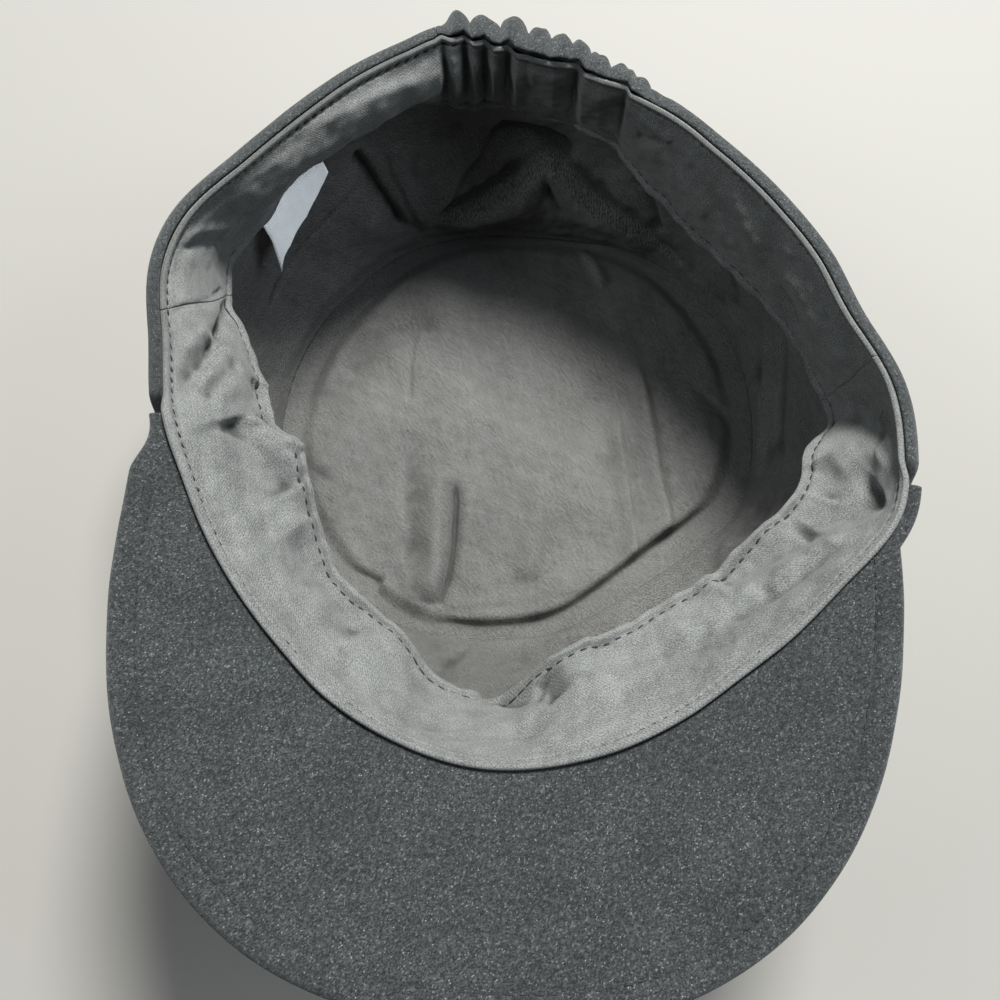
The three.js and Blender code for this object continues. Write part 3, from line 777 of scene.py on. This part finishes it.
def care_label():
    def shape(u, v):
        angle = LABEL_START + (LABEL_END - LABEL_START) * u
        share, side = two_faces(v)
        down = np.interp(u, *zip(*LABEL_LENGTHS)) * share
        angle = angle + 3 * smooth((u - 0.9) / 0.1) * share**2
        inset, drop, _ = hang(angle, LABEL_TOP + 0 * down)
        curl = np.interp(down, *zip(*LABEL_CURL)) + 0.8 * smooth((u - 0.7) / 0.3) * share
        half = LABEL_TAPE / 2 * edge_round(share * LABEL_LONGEST, LABEL_TAPE)
        half = half * edge_round((1 - share) * LABEL_LONGEST, LABEL_TAPE)
        return rim_point(angle, inset - GAP - LABEL_TAPE + curl + side * half, drop + down)

    return cloth("care_label_tape", 40, 60, shape, tube=True)


# Stitches


def stitches(name, place, start, end, pitch, length, width, slant=0.0):
    """A row of stitches along place(angle, sideways), which gives points on the cloth.

    Sizes are in millimetres, and slant is how far each stitch's ends lie beside the row.
    """
    angles = np.linspace(start, end, 4000)
    line = place(angles, 0.0)
    run = np.concatenate(([0], np.cumsum(np.linalg.norm(np.diff(line, axis=0), axis=1))))
    at = np.interp(np.arange(pitch / 2, run[-1], pitch), run, angles)
    turn_by = length / 2 * (end - start) / run[-1]
    one, other = place(at - turn_by, -slant), place(at + turn_by, slant)
    bm = bmesh.new()
    for a, b in zip(one, other):
        way = Vector(b - a)
        round_it = way.to_track_quat("Z", "Y").to_matrix().to_4x4()
        middle = Matrix.Translation(Vector((a + b) / 2) * MM)
        scale = Matrix.Diagonal((width * MM / 2, width * MM / 2, way.length * MM / 2, 1))
        bmesh.ops.create_uvsphere(
            bm, u_segments=6, v_segments=5, radius=1, matrix=middle @ round_it @ scale
        )
    return placed(name, bm)


# Finishes


class Wire:
    """A value in a material's nodes. Sums on it add Math nodes, and node() adds any other node."""

    def __init__(self, tree, socket=None):
        self.tree = tree
        self.socket = socket

    def node(self, kind, settings, inputs, output=0):
        """Adds a node with these settings and inputs, values or wires, and gives one output."""
        new = self.tree.nodes.new(kind)
        for key, value in settings.items():
            setattr(new, key, value)
        for key, value in inputs.items():
            if isinstance(value, Wire):
                self.tree.links.new(value.socket, new.inputs[key])
            else:
                new.inputs[key].default_value = value
        return Wire(self.tree, new.outputs[output] if new.outputs else None)

    def maths(self, operation, *values):
        return self.node("ShaderNodeMath", {"operation": operation}, dict(enumerate(values)))

    def __add__(self, other):
        return self.maths("ADD", self, other)

    __radd__ = __add__

    def __mul__(self, other):
        return self.maths("MULTIPLY", self, other)

    __rmul__ = __mul__

    def __sub__(self, other):
        return self.maths("SUBTRACT", self, other)

    def __rsub__(self, other):
        return self.maths("SUBTRACT", other, self)

    def __pow__(self, other):
        return self.maths("POWER", self, other)

    def between(self, low, high):
        """0 below low and 1 above high, with a soft step between."""
        return self.node(
            "ShaderNodeMapRange", {"interpolation_type": "SMOOTHSTEP"}, {0: self, 1: low, 2: high}
        )

    def mixed(self, one, other):
        """Colour one where this is 0 and the other where it is 1."""
        return self.node("ShaderNodeMix", {"data_type": "RGBA"}, {0: self, 6: one, 7: other}, 2)


def grey(level, red=1.0, blue=1.0):
    """A grey with so much of red and blue in it."""
    return (level * red, level, level * blue, 1)


# Nodes that give a material its coordinates, in metres
ALONG_CLOTH = ("ShaderNodeUVMap", {"uv_map": "cloth"}, {}, 0)
IN_SPACE = ("ShaderNodeTexCoord", {}, {}, 3)


def finish(name, coordinates=ALONG_CLOTH):
    """An empty material, and its coordinates in millimetres."""
    material = bpy.data.materials.new(name)
    material.use_nodes = True
    material.node_tree.nodes.clear()
    place = Wire(material.node_tree).node(*coordinates)
    scale = {"operation": "SCALE"}
    return material, place.node("ShaderNodeVectorMath", scale, {0: place, 3: 1 / MM})


def surface(weave, colour, roughness, height, depth, sheen, tint):
    """The cloth's shader. Its relief is depth deep, in metres."""
    relief = weave.node("ShaderNodeBump", {}, {"Strength": 1.0, "Distance": depth, "Height": height})
    shader = weave.node(
        "ShaderNodeBsdfPrincipled",
        {},
        {
            "Base Color": colour,
            "Roughness": roughness,
            "Normal": relief,
            "Specular IOR Level": 0.25,
            "Sheen Weight": sheen,
            "Sheen Roughness": 0.5,
            "Sheen Tint": tint,
        },
    )
    weave.node("ShaderNodeOutputMaterial", {}, {0: shader})


def painted_hollow_shade(weave, deep, most):
    """Painted shade: the share of its colour that cloth keeps where it lies below the cloth near it.
    """
    below = weave.node("ShaderNodeAttribute", {"attribute_name": "hollow"}, {}, 2)
    return 1 - below.between(0.2 * deep, deep) * most


def noise(weave, size, detail=2.0, roughness=0.5):
    """Uneven patches from 0 to 1, roughly size across."""
    return weave.node(
        "ShaderNodeTexNoise",
        {},
        {"Vector": weave, "Scale": 1 / size, "Detail": detail, "Roughness": roughness},
    )


def turned(weave, degrees, across, along):
    """The cloth's coordinates turned, and counted in threads of this size."""
    return weave.node(
        "ShaderNodeMapping",
        {"vector_type": "TEXTURE"},
        {0: weave, 2: (0, 0, math.radians(degrees)), 3: (across, along, 1)},
    )


def ribbed(weave, way, distortion, detail=2.0):
    """Ribs from 0 to 1, one after another along X or Y."""
    return weave.node(
        "ShaderNodeTexWave",
        {"wave_type": "BANDS", "bands_direction": way},
        {
            "Vector": weave,
            "Scale": ONE_RIB,
            "Distortion": distortion,
            "Detail": detail,
            "Detail Scale": 2.0,
        },
        1,
    )


def wool_finish():
    material, weave = finish("charcoal wool with pale flecks")
    yarns = turned(weave, 32, 0.36, 0.27)
    settings = {"feature": "F1", "voronoi_dimensions": "2D"}
    inputs = {"Vector": yarns, "Scale": 1.0, "Randomness": 0.8}
    distance = weave.node("ShaderNodeTexVoronoi", settings, inputs, 0)
    chance = weave.node("ShaderNodeTexVoronoi", settings, inputs, 1)
    pick = weave.node("ShaderNodeSeparateColor", {}, {0: chance}, 0)
    second = weave.node("ShaderNodeSeparateColor", {}, {0: chance}, 1)
    fibre = noise(weave, 0.35, 3.0, 0.7)
    clumps = noise(weave, 1.2, 2.0, 0.6)
    twill = ribbed(turned(weave, 32, 40, 1.5), "Y", 2.5)
    patches = noise(weave, 14)
    yarn = (pick**1.4).mixed(grey(0.003, 0.9, 1.02), grey(0.034, 0.92, 1.02))
    yarn = fibre.between(0.48, 0.75).mixed(yarn, grey(0.046, 0.93, 1.02))
    yarn = (twill * 0.15).mixed(yarn, grey(0.006, 0.92, 1.02))
    yarn = (second.between(0.92, 0.96) * 0.7).mixed(yarn, grey(0.075, 0.96, 1.0))
    fleck = second.between(0.988, 0.998) * distance.between(0.38, 0.15)
    yarn = fleck.mixed(yarn, grey(0.2, 0.97, 1.0))
    thin = clumps.between(0.35, 0.65) * 0.4 + patches.between(0.3, 0.7) * 0.22
    # Random thin patches vary its tone, and painted shade darkens it in hollows and creases
    yarn = ((thin + 0.5) * painted_hollow_shade(weave, 1.6, 0.5)).mixed(grey(0.0), yarn)
    height = (1 - distance) * 0.5 + fibre * 0.7 - twill * 0.2 + clumps * 0.6
    surface(weave, yarn, 0.95, height, 0.00025, 0.12, grey(0.8, 0.93, 1.02))
    return material


def sweatband_finish():
    material, weave = finish("dark grey cotton with a soft sheen")
    ribs = ribbed(turned(weave, 38, 0.6, 3.0), "X", 1.6)
    grain = noise(weave, 0.42, 2.0, 0.6)
    nap = noise(weave, 6.0, 3.0, 0.6)
    patches = noise(weave, 22)
    shade = ribs * 0.06 + grain * 0.64 + nap * 0.2 + patches * 0.1
    colour = shade.between(0.34, 0.68).mixed(grey(0.034, 0.98, 0.98), grey(0.125, 0.99, 0.97))
    lint = noise(weave, 0.5, 0.0).between(0.81, 0.87)
    colour = (lint * 0.4).mixed(colour, grey(0.35))
    # Painted shade darkens it in hollows and creases
    colour = painted_hollow_shade(weave, 2.0, 0.65).mixed(grey(0.0), colour)
    # Painted shade: the folded edge is darker round the back
    down = weave.node("ShaderNodeSeparateXYZ", {}, {0: weave}, 1)
    backward = weave.node("ShaderNodeSeparateXYZ", {}, {0: weave.node(*IN_SPACE)}, 1)
    edge = down.between(2.3, 1.5) * backward.between(-0.03, 0.02)
    colour = (edge * 0.5).mixed(colour, grey(0.012))
    height = ribs * 0.15 + grain * 0.5 + nap * 0.15
    surface(weave, colour, 0.8, height, 0.00013, 0.1, grey(0.7))
    return material


def lining_finish():
    material, weave = finish("thin charcoal woven cloth")
    hatch = ribbed(turned(weave, 42, 0.55, 4.0), "X", 0.8, 1.0)
    slub = noise(turned(weave, 42, 0.4, 3.0), 1.0, 2.0, 0.6)
    grain = noise(weave, 0.4, 2.0, 0.7)
    patches = noise(weave, 18)
    shade = hatch * 0.07 + slub * 0.25 + grain * 0.78 + patches * 0.1
    colour = shade.between(0.45, 0.74).mixed(grey(0.012, 1.02, 0.96), grey(0.094, 1.02, 0.96))
    # Painted shade darkens it in hollows and creases
    colour = painted_hollow_shade(weave, 2.2, 0.65).mixed(grey(0.0), colour)
    height = hatch * 0.2 + slub * 0.2 + grain * 0.5
    surface(weave, colour, 0.72, height, 0.00012, 0.06, grey(0.7))
    return material


def tape_finish():
    material, weave = finish("plain white tape")
    ribs = weave.node(
        "ShaderNodeTexWave",
        {"wave_type": "BANDS", "bands_direction": "Y"},
        {"Vector": weave, "Scale": 0.45, "Distortion": 0.6, "Detail": 1.0},
        1,
    )
    shade = ribs * 0.3 + noise(weave, 3.0, 3.0) * 0.7
    colour = shade.between(0.2, 0.8).mixed(grey(0.8), grey(0.92))
    surface(weave, colour, 0.6, ribs * 0.6, 0.0001, 0.2, grey(1))
    return material


def thread_finish():
    material, place = finish("dark thread", IN_SPACE)
    twist = noise(place, 0.5, 1.0)
    colour = twist.between(0.3, 0.7).mixed(grey(0.0042), grey(0.0098))
    surface(place, colour, 0.7, twist, 0.00005, 0.02, grey(0.8))
    return material


wool = wool_finish()
cotton = sweatband_finish()
lining = lining_finish()
tape = tape_finish()
thread = thread_finish()

# The cap

left_side = crown_side("crown_side_left_wool", BACK_SEAM, FRONT_SEAM)
sew_in(left_side, wool, "wool", "crown_side_left")
right_side = crown_side("crown_side_right_wool", FRONT_SEAM, BACK_SEAM + 360)
sew_in(right_side, wool, "wool", "crown_side_right")
sew_in(crown_top(), wool, "wool", "crown_top")
band = sew_in(outer_band(), wool, "wool", "outer_band")
gather = sew_in(back_gather(), wool, "wool", "back_gather")
sew_in(peak(), wool, "wool", "peak")
front = sweatband("sweatband_front_cotton", LEFT_SEAM, RIGHT_SEAM + 360, 480)
sew_in(front, cotton, "sweatband", "sweatband_front")
back = sweatband("sweatband_back_cotton", RIGHT_SEAM, LEFT_SEAM, 560)
sew_in(back, cotton, "sweatband", "sweatband_back")
side_lining = sew_in(lining_side(), lining, "lining", "lining_side")
top_lining = sew_in(lining_top(), lining, "lining", "lining_top")
label = sew_in(care_label(), tape, "label", "care_label")


def rim_row(angle, sideways):
    return sweatband_point(angle, RIM_ROW + sideways + 0 * angle)


def free_edge_row(angle, sideways):
    return sweatband_point(angle, SWEATBAND_WIDTH - FREE_ROW + sideways + 0 * angle)


def peak_row(angle, sideways):
    reach = peak_reach(angle)
    root, edge = 0 * angle, reach
    # The way out to the seam, by halving
    for _ in range(20):
        out = (root + edge) / 2
        point = rim_point(angle, -GAP - out, 0)
        inside = edge_distance(point[..., 0], point[..., 1]) > PEAK_SEAM - sideways
        root, edge = np.where(inside, out, root), np.where(inside, edge, out)
    return peak_point(angle, out, peak_top_lift(angle, out, reach) + 0.12)


all_round = (LEFT_SEAM - 359, LEFT_SEAM)
rim_stitching = stitches("rim_stitching", rim_row, *all_round, **RIM_ROW_SIZES)
sew_in(rim_stitching, thread, "sweatband")
free_edge_stitching = stitches("free_edge_stitching", free_edge_row, *all_round, **FREE_ROW_SIZES)
sew_in(free_edge_stitching, thread, "sweatband")
sew_in(stitches("peak_stitching", peak_row, *PEAK_ROW, **PEAK_ROW_SIZES), thread, "wool")

# Floor, light and camera

flat = bmesh.new()
bmesh.ops.create_grid(flat, x_segments=1, y_segments=1, size=1.5)
floor = placed("floor", flat)
floor_finish = bpy.data.materials.new("pale floor")
floor_finish.use_nodes = True
floor_inputs = floor_finish.node_tree.nodes["Principled BSDF"].inputs
floor_inputs["Base Color"].default_value = (0.17, 0.162, 0.15, 1)
floor_inputs["Roughness"].default_value = 0.8
floor.data.materials.append(floor_finish)


def aimed(name, data, place, aim):
    """Puts a lamp or camera in the scene, turned towards a point."""
    holder = bpy.data.objects.new(name, data)
    holder.location = place
    holder.rotation_euler = (Vector(aim) - holder.location).to_track_quat("-Z", "Y").to_euler()
    bpy.context.scene.collection.objects.link(holder)
    return holder


def soft_light(name, place, size, power, colour):
    lamp = bpy.data.lights.new(name, "AREA")
    lamp.shape = "DISK"
    lamp.size = size
    lamp.energy = power
    lamp.color = colour
    aimed(name, lamp, place, (0, -0.02, 0.05))


soft_light("back_light", (0.2, 0.65, 1.18), 0.44, 68, (0.985, 1.0, 0.97))
soft_light("right_fill", (0.78, 0.02, 0.82), 0.5, 7, (0.82, 0.92, 1.0))
soft_light("left_fill", (-0.72, -0.1, 0.9), 0.5, 6, (0.9, 0.96, 1.0))

room = bpy.data.worlds.new("studio")
room.use_nodes = True
room_inputs = room.node_tree.nodes["Background"].inputs
room_inputs["Color"].default_value = (0.86, 0.93, 1.0, 1)
room_inputs["Strength"].default_value = 0.18
bpy.context.scene.world = room
bpy.context.scene.view_settings.view_transform = "Standard"

lens = bpy.data.cameras.new("camera")
lens.lens = 39.6
lens.sensor_width = 36
lens.clip_start = 0.01
camera = aimed("camera", lens, (0.001548, -0.115693, 0.340981), (-0.002, -0.048, 0.088))
bpy.context.scene.camera = camera
